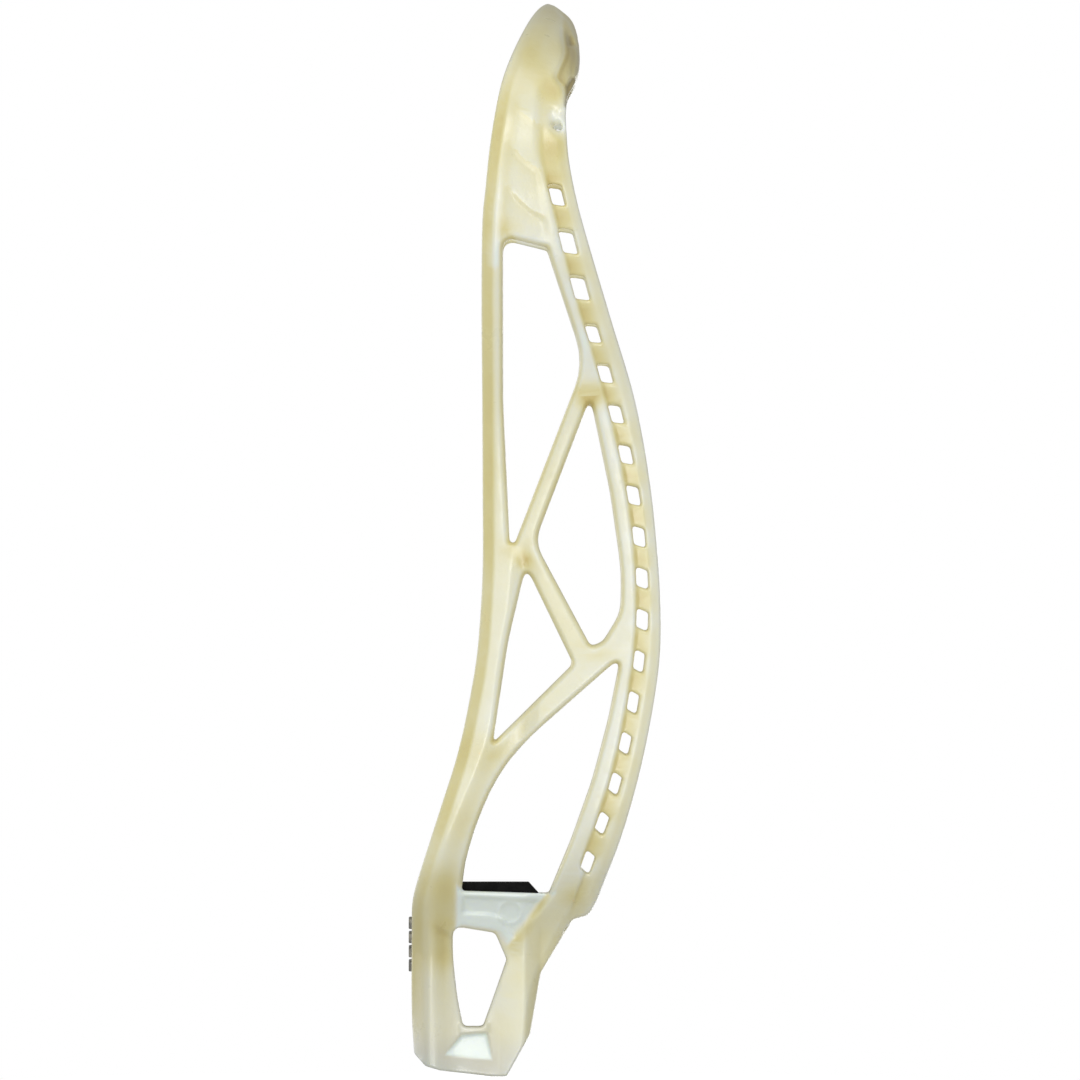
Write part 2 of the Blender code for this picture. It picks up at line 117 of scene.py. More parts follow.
# The string holes stand along this line, counted from the throat
STRING_LINE = [
    (32.1, 62.6), (40.0, 85.3), (45.2, 108.8), (47.9, 132.5), (47.0, 156.6), (43.2, 180.4), (37.1, 204.2),
    (29.9, 228.5), (22.0, 260.0),
]
STRING_HOLES = 17
FIRST_HOLE = 0.1  # how far along the line the first hole's middle is
HOLE_PITCH = 12.05
LAST_HOLES, LAST_PITCH = 3, 13.75  # the holes nearest the scoop stand further apart
HOLE_SIZES = [(5.7, 3.1)] * 6 + [(5.5, 3.5)] * 8 + [(7.2, 4.2)] * 2 + [(6.2, 3.7)]  # length, width
HOLE_RADIUS = 0.7
HOLE_SLANT = math.radians(22)

# ---------------------------------------- the front drawing, as (y, z)

MOUTH_WIDTH, MOUTH_DEPTH = 31.0, 36.8  # the throat's outside, across Y and X
THROAT_CHAMFER, CHAMFER_FADES = 4.5, (62.0, 34.0)  # the chamfers run out between these heights
SOCKET_WIDTH, SOCKET_DEPTH, SOCKET_CHAMFER, SOCKET_TOP = 23.4, 26.4, 5.6, 50.4
STOP_Z = 53.6  # the shelf that the foam lies on
OUTER_HALF = [
    (MOUTH_WIDTH / 2, -14.0), (MOUTH_WIDTH / 2, 14.0), (MOUTH_WIDTH / 2, 31.0), (17.2, 38.5), (21.6, 46.0),
    (28.6, 54.5), (35.4, 64.5), (39.8, 77.0), (42.2, 91.0), (43.8, 108.0), (45.4, 128.0), (47.9, 150.0),
    (52.4, 174.0), (59.8, 198.5), (68.9, 220.0), (77.0, 240.5), (82.2, 261.0), (81.3, 279.5), (72.6, 294.0),
    (55.6, 304.2), (30.6, 309.9), (0.0, HEAD_TOP),
]
POCKET_HALF = [
    (0.0, STOP_Z), (9.0, STOP_Z), (17.5, STOP_Z), (23.4, 56.0), (28.4, 61.6), (32.8, 70.5), (36.3, 86.0),
    (38.9, 108.0), (41.0, 128.0), (43.7, 150.0), (48.2, 175.2), (55.6, 200.4), (64.8, 222.2), (72.9, 241.8),
    (78.0, 260.5), (77.3, 276.6), (69.6, 290.6), (53.8, 300.9), (29.8, 307.0), (0.0, 309.2),
]
# How the arch of the scoop changes with depth, as (x, z of its top)
OUTER_DEPTHS = [
    (-26.0, 322.0), (-18.4, 320.0), (-10.9, 318.6), (0.0, 317.2), (10.9, 315.3), (17.6, 313.7),
    (20.6, 312.7), (24.4, 310.9), (27.4, 307.9), (29.4, 303.2), (30.2, 297.0), (30.5, 291.0),
    (32.7, 289.0), (44.0, 288.0), (58.0, 288.0),
]
POCKET_DEPTHS = [
    (-27.0, 318.0), (-10.0, 315.0), (0.0, 313.6), (10.0, 311.6), (17.2, 309.8), (20.6, 308.4),
    (23.4, 306.0), (25.4, 302.2), (26.6, 297.0), (27.4, 291.6), (28.4, 289.0), (30.2, 288.0),
    (44.0, 287.0), (59.0, 287.0),
]
ARCH_BASE = 262.0  # below this height the front outline is the same at every depth
# How far the walls lean out at their back, as (z, lean). At the face they lean in by as much.
LEAN = [(60.0, 0.0), (90.0, 1.8), (140.0, 1.6), (190.0, 0.6), (240.0, -1.0), (320.0, -1.0)]
LEAN_MIDDLE_X, LEAN_DEPTH = 26.0, 25.0
LEAN_FULL_Y = 30.0  # nearer the middle than this, the lean fades

# ---------------------------------------- holes that aren't drawn from the side

SCREW_Z, SCREW_HOLE_RADIUS, SCREW_HOLE_X = 23.0, 2.2, 8.0
COUNTERBORE_RADIUS, COUNTERBORE_X = 3.9, 14.4
BEHIND_THROAT_X = 40.0
LEDGE_HOLES = [(27.0, 4.5), (27.0, 13.5)]  # x, y; they run up through the shelf
LEDGE_HOLE_RADIUS, LEDGE_HOLE_ENDS = 1.9, (30.0, 66.0)
TOP_HOLE = [(20.7, 88.0, 280.4), (28.7, 62.0, 264.4)]  # it slants down, so it can't be seen through
TOP_HOLE_RADIUS = 1.2
# Oblong holes through the scoop's back lip, as (y, z)
SCOOP_HOLES = [(0.0, 297.6), (15.0, 296.8), (29.8, 295.0), (43.5, 292.2)]
SCOOP_HOLE_WIDTH, SCOOP_HOLE_HEIGHT, SCOOP_HOLE_CORNER = 6.0, 4.0, 0.8
SCOOP_LIP_X = 22.0  # the scoop's holes cut only behind this depth

# How far each kind of edge is rounded
OUTLINE_ROUND, POCKET_ROUND, STRING_HOLE_ROUND, BORE_ROUND, TOP_HOLE_ROUND = 0.5, 0.8, 0.35, 0.4, 1.2

# ---------------------------------------- the relief of the outer face, as (x, z)

FACE_RIDGE = [  # where the face rail's flat ends and its slope down to the windows starts
    (10.0, 160.0), (9.6, 150.2), (8.7, 137.8), (6.7, 127.0), (4.9, 115.4), (3.8, 103.8), (0.3, 92.2),
    (-4.4, 80.6), (-7.8, 71.9), (-10.7, 63.2), (-12.4, 54.5), (-12.7, 47.0), (-12.7, 34.2), (-12.5, 22.6),
    (-12.1, 11.0), (-12.1, -6.0),
]
THROAT_CREASE = [(-16.0, 48.0), (-7.0, 41.3)]
THROAT_TOP = 56  # above this height the throat has turned into the rails
MEMBER_RIDGE = [  # where the two planes of the throat's rear member meet
    (12.6, -4.0), (13.0, 12.2), (15.0, 25.5), (17.4, 32.8), (21.6, 41.0), (25.4, 48.0), (29.0, 55.0),
    (31.0, 60.0),
]
PLATE = [(-5.8, 55.6), (22.6, 54.0), (9.9, 36.6), (6.1, 43.0), (2.9, 43.8), (-4.1, 44.6), (-6.1, 43.6)]
PLATE_PANEL = [(-3.8, 52.8), (17.7, 51.4), (11.0, 40.8), (7.7, 46.6), (3.5, 47.8), (-4.0, 48.0)]
MARK_X, MARK_Z, MARK_RADIUS = 9.6, 48.2, 3.2  # a plain raised ring moulded into the plate
PLATE_STRIP = [(20.4, 52.8), (10.2, 38.4)]  # the golden bevel between the plate and the throat's member
SILL = [(-4.4, 12.5), (2.8, 13.1), (4.3, 5.5), (-9.2, 6.9)]
PANEL = [
    (7.6, 238.0), (8.4, 262.0), (11.2, 284.0), (15.0, 296.0), (19.4, 290.0), (19.6, 262.0), (21.4, 241.0),
]
PANEL_STEP = [(19.9, 268.0), (19.8, 286.0)]  # goes on upwards from the string holes' line
COURSE_Z, COURSE_X, COURSE_PITCH = 254.3, 12.5, 12.9
COURSE_SLOPE, COURSE_BEND = 1.0, 0.045
COURSE_DROP = 0.14  # the share of its pitch in which a course falls back
SCOOP_CREASE = [
    (24.4, 309.6), (24.6, 302.0), (25.2, 296.4), (23.4, 291.6), (22.9, 289.2), (24.8, 286.4), (25.4, 281.0),
]
SCOOP_PIT = [(26.6, 301.3), (28.5, 301.3), (28.5, 298.7), (26.6, 298.7)]
SCOOP_GAP = [(25.6, 281.0), (26.0, 286.6), (27.4, 289.2), (30.4, 289.4), (28.4, 285.6), (26.6, 282.0)]
SCOOP_RIBS_Z, SCOOP_RIB_PITCH = 291.0, 1.3
TOP_DIMPLE = [(21.8, 278.8), (23.8, 274.6)]  # the shallow dish around the top hole
MOST_CUT = 2.8
WALL_KEPT_TO = 1.5  # past this cut, the pocket's wall moves inwards by as much

# The limits between which a part of the relief fades in, or fades in and then out again
STEP_HEIGHTS = (44, 56, 280, 292)
RIM_HEIGHTS, RIM_DEPTHS = (291, 296), (19, 22)
SCOOP_END, SCOOP_END_SHADE = (48, 56), (50, 56)  # how far out from the middle of the head

# How deep each part of the relief is, and how wide
FACET_DEPTH, FACET_WIDTH = 1.6, 3.3  # along the face edge
BACK_FACET_DEPTH, BACK_FACET_WIDTH = 0.9, 2.6  # along the back edge
CHAMFER_DEPTH, CHAMFER_WIDTH = 0.95, 1.05  # round the truss windows
STEP_DEPTH, STEP_HALF_WIDTH, STEP_FROM_HOLES = 0.8, 0.45, 1.95
SLOPE_STEEPNESS, SLOPE_LEAST, SLOPE_MORE = 0.36, 1.2, 0.8  # the throat's slope, less deep at the mouth
MEMBER_STEEPNESS, MEMBER_DEPTH, THROAT_CREASE_DEPTH = 0.2, 1.6, 0.8
PLATE_DEPTH, PLATE_PANEL_DEPTH = 1.8, 0.8
MARK_HEIGHT, MARK_WIDTH = 0.6, 0.4
SILL_Z, SILL_STEEPNESS, SILL_LIP_X, SILL_LIP_HEIGHT = 5.2, 0.19, -0.9, 0.55
PANEL_DISH, COURSE_DEPTH = 0.1, 0.22
RIM_GROOVE, RIM_BEAD = (0.6, 1.9, 0.6), (0.3, 0.9, 0.45)  # depth, distance from the outline, width
CREASE_DEPTH, CREASE_LINE_DEPTH, PIT_DEPTH, GAP_DEPTH = 0.7, 0.3, 2.0, 2.6
RIB_DEPTH, DIMPLE_DEPTH = 1.0, 0.8

# ---------------------------------------- small pieces

BARS, BAR_Z, BAR_STEP, BAR_SLANT = 4, 32.7, 4.1, math.radians(4)
BAR_LENGTH, BAR_HEIGHT, BAR_PROUD, BAR_SUNK, BAR_ROUND = 11.0, 2.8, 0.9, 0.6, 0.35
THROAT_FACE_X = -18.9
FOAM_CHAMFER, FOAM_FRONT, FOAM_ROUND = 3.0, 1.2, 0.3
FOAM_UNEVEN, FOAM_LONGEST_EDGE = 0.03, 1.6
FOAM_LUMPS = 400  # to a metre

# ---------------------------------------- colours

# The share of nylon in the cells around a place of the surface, from thin edges to thick corners
BULK_REACH, THIN_BULK, THICK_BULK, BULK_TONE = 4, 0.28, 0.58, 0.42
# Pools where the colour is deeper: mostly where the nylon is thick at the junctions, some as painted shade
# in the recess beside the scoop's step
POOLS_AND_SHADE = [  # x, z, radius, strength: where the nylon's colour is deeper
    (32.8, 198.0, 3.4, 0.9), (13.8, 149.9, 2.0, 0.6), (9.9, 153.0, 2.4, 0.3), (-10.6, 44.0, 4.0, 0.3),
    (-9.4, 36.0, 5.0, 0.3), (-10.0, 55.0, 6.0, 0.3), (22.8, 270.0, 5.0, 0.35), (23.4, 258.0, 6.0, 0.2),
    (15.4, 296.0, 4.0, 0.2), (18.0, 291.5, 4.0, 0.2), (20.4, 287.0, 4.0, 0.2), (8.6, 246.0, 3.0, 0.25),
    (27.0, 297.0, 6.0, 0.2), (27.0, 53.0, 3.0, 0.3), (0.0, 95.0, 6.0, 0.2), (-6.0, 75.0, 7.0, 0.2),
    (23.0, 285.0, 4.0, 0.35), (14.0, 283.0, 9.0, 0.15),
]
# A painted highlight runs along this line on the face rail's flat
FLAT_HIGHLIGHT = [(5.0, 236.0), (5.8, 252.0), (7.0, 266.0)]  # the palest stretch of the face rail's flat
# How much deeper each place's colour is than its thickness says, or below 0 how much paler. The tones of
# the sill, the face rail's flat, the scoop's crease and rim and the top hole's dish are painted highlights,
# and the member's tone is painted shade.
PLATE_TONE, SILL_HIGHLIGHT_TONE, STRIP_TONE, MEMBER_SHADE_TONE, THROAT_TONE, MOUTH_TONE = -0.6, -0.4, 0.8, 0.14, 0.2, -0.18
FACE_EDGE_TONE, FACE_RAIL_TONE, FLAT_HIGHLIGHT_TONE = 0.33, 0.1, -0.25
STRING_TONE, STEP_TONE, WINDOW_TONE, STRUT_TONE = 0.26, 0.14, 0.26, 0.12
PANEL_TONE, COURSE_TONE, SCOOP_TONE, DIMPLE_HIGHLIGHT_TONE = -0.1, 0.22, 0.08, -0.28
LIP_TONE, CREASE_HIGHLIGHT_TONE, RIM_HIGHLIGHT_TONE = 0.24, -0.14, -0.16
# How much painted shade darkens each place
THROAT_SHADE, MOUTH_SHADE, PIT_SHADE, GAP_SHADE, LIP_SHADE = 0.15, 0.17, 0.5, 0.6, 0.2
NYLON_COLOURS = [  # along the tone, from thin to thick
    (0.0, (0.86, 0.95, 0.88, 1)), (0.2, (0.87, 0.88, 0.76, 1)), (0.42, (0.85, 0.82, 0.57, 1)),
    (0.68, (0.78, 0.71, 0.36, 1)), (1.0, (0.66, 0.54, 0.20, 1)),
]
# The colour that painted shade darkens the nylon towards
PAINTED_SHADE_TINT = (0.25, 0.19, 0.12, 1)
NYLON_SCATTER, NYLON_SCATTER_SCALE = (0.9, 0.85, 0.6), 0.002

# ---------------------------------------- the stage

FLOOR_RADIUS, FLOOR_GLOW = 0.12, 0.75
WORLD_LIGHT = 0.36  # the world lights the head with this much of the white that the camera sees
LIGHT_AIM = (0.02, 0.0, 0.15)
LIGHTS = [  # name, place, size in metres, power in watts
    ("front", (-0.35, -1.4, 0.1), (0.8, 1.0), 4.3),
    ("low strip", (0.02, -1.4, -0.4), (0.12, 0.6), 2.7),
    ("high strip", (0.02, -1.4, 0.6), (0.45, 0.4), 3.6),
    ("top", (0.1, -0.7, 1.2), (0.8, 0.6), 2.3),
    ("behind", (0.5, 1.5, -0.3), (1.2, 1.2), 6.5),
    ("face side", (-1.2, 1.0, 0.2), (1.0, 1.0), 5.0),
]
LENS = 1500.0  # so long that the view is almost without perspective
VIEW_WIDTH, VIEW_X, VIEW_Z = 313.2, 18.27, 156.02  # how wide the camera sees, around this middle


# ---------------------------------------- drawing with arrays

def curve_through(points, steps):
    """Points along a smooth curve that passes through all of these, with steps to each span."""
    p = np.array(points, float)
    p = np.vstack([2 * p[0] - p[1], p, 2 * p[-1] - p[-2]])
    t = (np.arange(steps) / steps)[:, None]
    spans = [
        0.5 * (2 * b + (c - a) * t + (2 * a - 5 * b + 4 * c - d) * t**2 + (3 * b - a - 3 * c + d) * t**3)
        for a, b, c, d in zip(p, p[1:], p[2:], p[3:])
    ]
    return np.vstack([*spans, p[-2]])


def rounded(corners, most_turn=math.radians(12)):
    """A closed outline with an arc at each corner (x, z, radius)."""
    found = []
    for i, (x, z, radius) in enumerate(corners):
        here = Vector((x, z))
        back = Vector(corners[i - 1][:2]) - here
        ahead = Vector(corners[(i + 1) % len(corners)][:2]) - here
        turn = math.pi - back.angle(ahead)
        reach = min(radius * math.tan(turn / 2), 0.45 * back.length, 0.45 * ahead.length)
        start, end = here + back.normalized() * reach, here + ahead.normalized() * reach
        sides = max(2, math.ceil(turn / most_turn))
        for k in range(sides + 1):
            t = k / sides
            found.append(tuple(start * (1 - t) ** 2 + here * 2 * t * (1 - t) + end * t**2))
    return found


def line_distance(points, u, v, closed=False):
    """How far each (u, v) is from a line, and on which side: +1 to the left of its direction."""
    points = np.asarray(points, float)
    ends = np.roll(points, -1, 0) if closed else points[1:]
    starts = points if closed else points[:-1]
    best = np.full(u.shape, 1e9)
    across = np.ones(u.shape)
    for (x0, y0), (x1, y1) in zip(starts, ends):
        dx, dy = x1 - x0, y1 - y0
        long = dx * dx + dy * dy
        if long < 1e-12:
            continue
        px, py = u - x0, v - y0
        t = np.clip((px * dx + py * dy) / long, 0, 1)
        d = (px - t * dx) ** 2 + (py - t * dy) ** 2
        off = (dx * py - dy * px) / math.sqrt(long)
        # at a shared corner both segments are as near, and the one seen more squarely tells the side
        nearer = (d < best - 1e-7) | ((d < best + 1e-7) & (np.abs(off) > np.abs(across)))
        best[nearer] = d[nearer]
        across[nearer] = off[nearer]
    return np.sqrt(best), np.sign(across)


def inside_distance(outline, u, v):
    """Signed distance to a closed outline, negative inside it."""
    points = np.asarray(outline, float)
    distance, _ = line_distance(points, u, v, closed=True)
    inside = np.zeros(u.shape, bool)
    for (x0, y0), (x1, y1) in zip(points, np.roll(points, -1, 0)):
        if y0 != y1:
            crosses = (y0 > v) != (y1 > v)
            inside ^= crosses & (u < x0 + (v - y0) * (x1 - x0) / (y1 - y0))
    return np.where(inside, -distance, distance)


def ramp(value, low, high):
    """0 at low, 1 at high, and straight between them."""
    return np.clip((value - low) / (high - low), 0, 1)


def soft_ramp(value, low, high):
    """0 at low, 1 at high, and smooth between them. Low may be the larger of the two."""
    t = ramp(value, low, high)
    return t * t * (3 - 2 * t)


def band(value, low, full_from, full_to, high):
    """1 between the middle two limits, fading to 0 at the outer two."""
    return soft_ramp(value, low, full_from) * soft_ramp(value, high, full_to)


def hill(distance, width):
    """1 where the distance is 0, fading out within about twice the width."""
    return np.exp(-((distance / width) ** 2))


def meet(a, b, radius):
    """The part inside both fields, with their shared edge rounded to this radius."""
    corner = np.sqrt(np.maximum(a + radius, 0) ** 2 + np.maximum(b + radius, 0) ** 2)
    return np.minimum(np.maximum(a, b), -radius) + corner


# ---------------------------------------- the frame's field

def string_hole_places():
    """(middle, direction of the line) of each string hole, walked along the line by the pitch."""
    line = curve_through(STRING_LINE, 24)
    places = []
    walked, wanted = 0.0, FIRST_HOLE
    for a, b in zip(line, line[1:]):
        length = float(np.linalg.norm(b - a))
        while len(places) < STRING_HOLES and walked + length >= wanted:
            places.append((a + (b - a) * ((wanted - walked) / length), (b - a) / length))
            wanted += HOLE_PITCH if len(places) < STRING_HOLES - LAST_HOLES else LAST_PITCH
        walked += length
    return places


def string_hole(middle, along, length, width):
    """A slanted four-sided hole with small round corners."""
    inward = np.array((-along[1], along[0]))
    half_length, half_width = length / 2, width / 2
    slant = half_width * math.tan(HOLE_SLANT)
    corners = []
    for u, v in ((1, 1), (1, -1), (-1, -1), (-1, 1)):
        point = middle + along * (u * half_length + v * slant) + inward * (v * half_width)
        corners.append((point[0], point[1], HOLE_RADIUS))
    return rounded(corners)


def side_fields():
    """The side drawing's signed distances: its outline, its windows, its string holes."""
    outline = np.vstack([
        curve_through(FACE_EDGE, 6), curve_through(SCOOP_BACK, 4), curve_through(BACK_EDGE, 6),
        BACK_OF_THROAT, MOUTH_EDGE,
    ])
    windows = [inside_distance(rounded(window), SIDE_X, SIDE_Z) for window in [*WINDOWS, THROAT_WINDOW]]
    places = zip(string_hole_places(), HOLE_SIZES)
    holes = [inside_distance(string_hole(*place, *size), SIDE_X, SIDE_Z) for place, size in places]
    return inside_distance(outline, SIDE_X, SIDE_Z), np.min(windows, 0), np.min(holes, 0)


def signed(line, x, z, steps=4):
    """Distance from a line, positive to the right of its direction."""
    distance, side = line_distance(curve_through(line, steps), x, z)
    return -distance * side


def relief(windows):
    """How far the outer face is cut back, at each place of the side drawing."""
    x, z = SIDE_X, SIDE_Z
    in_plate = inside_distance(PLATE, x, z)
    return rail_relief(windows, x, z) + throat_relief(in_plate, x, z) + panel_relief(x, z)


def past_string_step(x, z, steps=4):
    """How far a place lies behind the step along the string holes, on the side of the back edge."""
    return STEP_FROM_HOLES + signed([*STRING_LINE, *PANEL_STEP], x, z, steps)


def rail_relief(windows, x, z):
    """The planes of the two rails, the step along the string holes, and the windows' chamfers."""
    to_face, _ = line_distance(curve_through(FACE_EDGE, 4), x, z)
    to_back, _ = line_distance(curve_through(BACK_EDGE, 4), x, z)
    reach = STEP_HALF_WIDTH + 1.3 * soft_ramp(z, 258, 270)  # the step is softer beside the panel
    facet = FACET_DEPTH * ramp(to_face, FACET_WIDTH, 0.0) * (0.4 + 0.6 * soft_ramp(z, 296, 272))
    chamfer = CHAMFER_DEPTH * ramp(windows, CHAMFER_WIDTH, 0.05) * soft_ramp(z, 44, 52)
    step = STEP_DEPTH * soft_ramp(past_string_step(x, z), 0.1 - reach, reach) * band(z, *STEP_HEIGHTS)
    back_facet = BACK_FACET_DEPTH * ramp(to_back, BACK_FACET_WIDTH, 0.2) * band(z, 44, 56, 276, 290)
    return facet + chamfer + step + back_facet


def throat_relief(in_plate, x, z):
    """The slopes beside the throat window, the ball stop's plate, and the sill under the window."""
    return np.maximum(throat_slope(x, z), PLATE_DEPTH * ramp(in_plate, 0.3, -1.5)) + throat_details(x, z)


def throat_slope(x, z):
    """The slope from the face rail's ridge down towards the window, with a crease across its top."""
    past_ridge = -signed(FACE_RIDGE, x, z)
    below_crease = signed(THROAT_CREASE, x, z)
    left_of_member = -signed(MEMBER_RIDGE, x, z)
    deepest = SLOPE_LEAST + SLOPE_MORE * soft_ramp(z, 12, 24)
    eased = np.sqrt(np.maximum(past_ridge, 0) ** 2 + 1) - 1  # so that the slope starts without a kink
    slope = deepest * np.tanh(SLOPE_STEEPNESS * eased / deepest)
    slope = slope * soft_ramp(z, 158, 140) * soft_ramp(x, 19, 12)
    up_to_member = MEMBER_STEEPNESS * np.maximum(left_of_member, 0)
    slope = np.where(z < THROAT_TOP, np.minimum(slope, up_to_member), slope)
    crease = THROAT_CREASE_DEPTH * soft_ramp(below_crease, -0.3, 0.9) * ramp(past_ridge, 0, 3)
    return slope + crease * soft_ramp(x, -4, -7) * soft_ramp(z, 12, 38)


def throat_details(x, z):
    """The rear member's far side, the plate's panel with its ring, and the window's sill."""
    right_of_member = signed(MEMBER_RIDGE, x, z)
    corner = MEMBER_DEPTH * ramp(right_of_member, 0.2, 4.2) * soft_ramp(z, 54, 42)
    plate_panel = PLATE_PANEL_DEPTH * soft_ramp(inside_distance(PLATE_PANEL, x, z), 0.3, -0.3)
    mark = MARK_HEIGHT * hill(np.hypot(x - MARK_X, z - MARK_Z) - MARK_RADIUS, MARK_WIDTH)
    in_sill = soft_ramp(inside_distance(SILL, x, z), 0.35, -0.25)
    sill = SILL_STEEPNESS * np.maximum(z - SILL_Z, 0) * in_sill
    lip = SILL_LIP_HEIGHT * band(z, 12.6, 13.2, 15.5, 16.5) * soft_ramp(abs(x - SILL_LIP_X), 4.6, 3.8)
    return corner + plate_panel + sill - lip - mark


def courses(x, z):
    """How far along each of the panel's slanted courses a place is, from 0 to 1."""
    across = x - COURSE_X
    course = (z - COURSE_Z + COURSE_SLOPE * across - COURSE_BEND * across**2) / COURSE_PITCH
    return course - np.floor(course)


def panel_relief(x, z):
    """The solid panel under the scoop: its courses are like shallow scales."""
    in_panel = inside_distance(PANEL, x, z)
    dish = PANEL_DISH * soft_ramp(in_panel, 0.8, -2.6) * soft_ramp(z, 292, 262)
    rise = courses(x, z)
    scale = np.minimum((rise / (1 - COURSE_DROP)) ** 1.6, (1 - rise) / COURSE_DROP)
    return dish + COURSE_DEPTH * scale * soft_ramp(in_panel, 0.9, -2.6) * band(z, 238, 248, 270, 288)


def in_front_of_crease(x, z):
    """How far a place lies in front of the scoop's crease."""
    line = curve_through(SCOOP_CREASE, 4)[::-1]
    return np.interp(z, line[:, 1], line[:, 0]) - x


def scoop_relief(x, z):
    """The scoop's beaded rim and creased corner, its ribs, and the gap where the back lip ends."""
    past_crease = in_front_of_crease(x, z)
    to_rim, _ = line_distance(curve_through(SCOOP_BACK, 4), x, z)
    groove, bead = (depth * hill(to_rim - at, width) for depth, at, width in (RIM_GROOVE, RIM_BEAD))
    rim = (groove - bead) * soft_ramp(z, *RIM_HEIGHTS) * soft_ramp(x, *RIM_DEPTHS)
    line = CREASE_LINE_DEPTH * hill(past_crease, 0.9) * band(z, 280, 284, 300, 306)
    crease = CREASE_DEPTH * soft_ramp(-past_crease, -0.5, 0.6) * band(z, 282, 286, 300, 307)
    pit = PIT_DEPTH * soft_ramp(inside_distance(SCOOP_PIT, x, z), 0.25, -0.25)
    gap = GAP_DEPTH * soft_ramp(inside_distance(SCOOP_GAP, x, z), 0.3, -0.3)
    ribs = RIB_DEPTH * (1 + np.sin(x * math.tau / SCOOP_RIB_PITCH)) / 2
    ribs = ribs * soft_ramp(x, 26.2, 27.2) * hill(z - SCOOP_RIBS_Z, 2.4)
    to_dimple, _ = line_distance(TOP_DIMPLE, x, z)
    return rim + crease + line + pit + gap + ribs + DIMPLE_DEPTH * hill(to_dimple, 1.7)


def front_field(half):
    """The front drawing's signed distance on its own flat grid."""
    side = curve_through(half, 8)
    other_side = side[::-1] * np.array((-1, 1))
    return inside_distance(np.vstack([side, other_side[1:]]), FRONT_Y, FRONT_Z)


def sample_front(field, y, z):
    """The flat field's value at each (y, z), read between its cells."""
    u = np.clip(y / FRONT_CELL, 0, field.shape[0] - 1.001)
    v = np.clip((z - FRONT_LOW_Z) / FRONT_CELL, 0, field.shape[1] - 1.001)
    i, j = u.astype(int), v.astype(int)
    fu, fv = u - i, v - j
    return (
        field[i, j] * (1 - fu) * (1 - fv) + field[i + 1, j] * fu * (1 - fv)
        + field[i, j + 1] * (1 - fu) * fv + field[i + 1, j + 1] * fu * fv
    )


def at_depth(field, depths, table_top, x, y, z, throat_chamfer=0.0):
    """The front field at this depth: its arch is as high as it is there, and its walls lean."""
    beyond = min(max(abs(x) - MOUTH_DEPTH / 2 + throat_chamfer, 0.0), throat_chamfer)
    y = y + beyond * soft_ramp(z, *CHAMFER_FADES)
    table = curve_through(depths, 6)
    top = np.interp(x, table[:, 0], table[:, 1])
    scaled = ARCH_BASE + (z - ARCH_BASE) * (table_top - ARCH_BASE) / (top - ARCH_BASE)
    z = np.where(z > ARCH_BASE, scaled, z)
    lean = np.interp(z, *zip(*LEAN)) * (x - LEAN_MIDDLE_X) / LEAN_DEPTH * np.minimum(1, y / LEAN_FULL_Y)
    return sample_front(field, y - lean, z)


def octagon_field(x, y, depth, width, chamfer):
    """An eight-sided section's field, negative inside it."""
    a, b = depth / 2, width / 2
    corner = (np.abs(x) + y - (a + b - chamfer)) / math.sqrt(2)
    return np.maximum(np.maximum(np.abs(x) - a, y - b), corner)


def rod_field(start, end, radius, x, y, z):
    """A round rod's field between two points, negative inside it."""
    start, end = np.array(start), np.array(end)
    axis = (end - start) / np.linalg.norm(end - start)
    offset = (x - start[0], y - start[1], z - start[2])
    along = sum(part * step for part, step in zip(offset, axis))
    across = np.sqrt(np.maximum(sum(part**2 for part in offset) - along**2, 0))
    return np.maximum(across - radius, np.maximum(-along, along - np.linalg.norm(end - start)))


def bores_field(x, y, z):
    """Every hole that isn't drawn from the side, at this depth, or None where there are none."""
    bores = []
    if x > SCREW_HOLE_X - 3:
        for start_x, radius in ((SCREW_HOLE_X, SCREW_HOLE_RADIUS), (COUNTERBORE_X, COUNTERBORE_RADIUS)):
            start, end = (start_x, 0, SCREW_Z), (BEHIND_THROAT_X, 0, SCREW_Z)
            bores.append(rod_field(start, end, radius, x, y, z))
    for hole_x, hole_y in LEDGE_HOLES:
        if abs(x - hole_x) < 4:
            start, end = ((hole_x, hole_y, hole_z) for hole_z in LEDGE_HOLE_ENDS)
            bores.append(rod_field(start, end, LEDGE_HOLE_RADIUS, x, y, z))
    if x > SCOOP_LIP_X:
        for hole_y, hole_z in SCOOP_HOLES:
            wide = np.abs(y - hole_y) - SCOOP_HOLE_WIDTH / 2
            high = np.abs(z - hole_z) - SCOOP_HOLE_HEIGHT / 2
            bores.append(meet(wide, high, SCOOP_HOLE_CORNER))
    return np.min(bores, 0) if bores else None


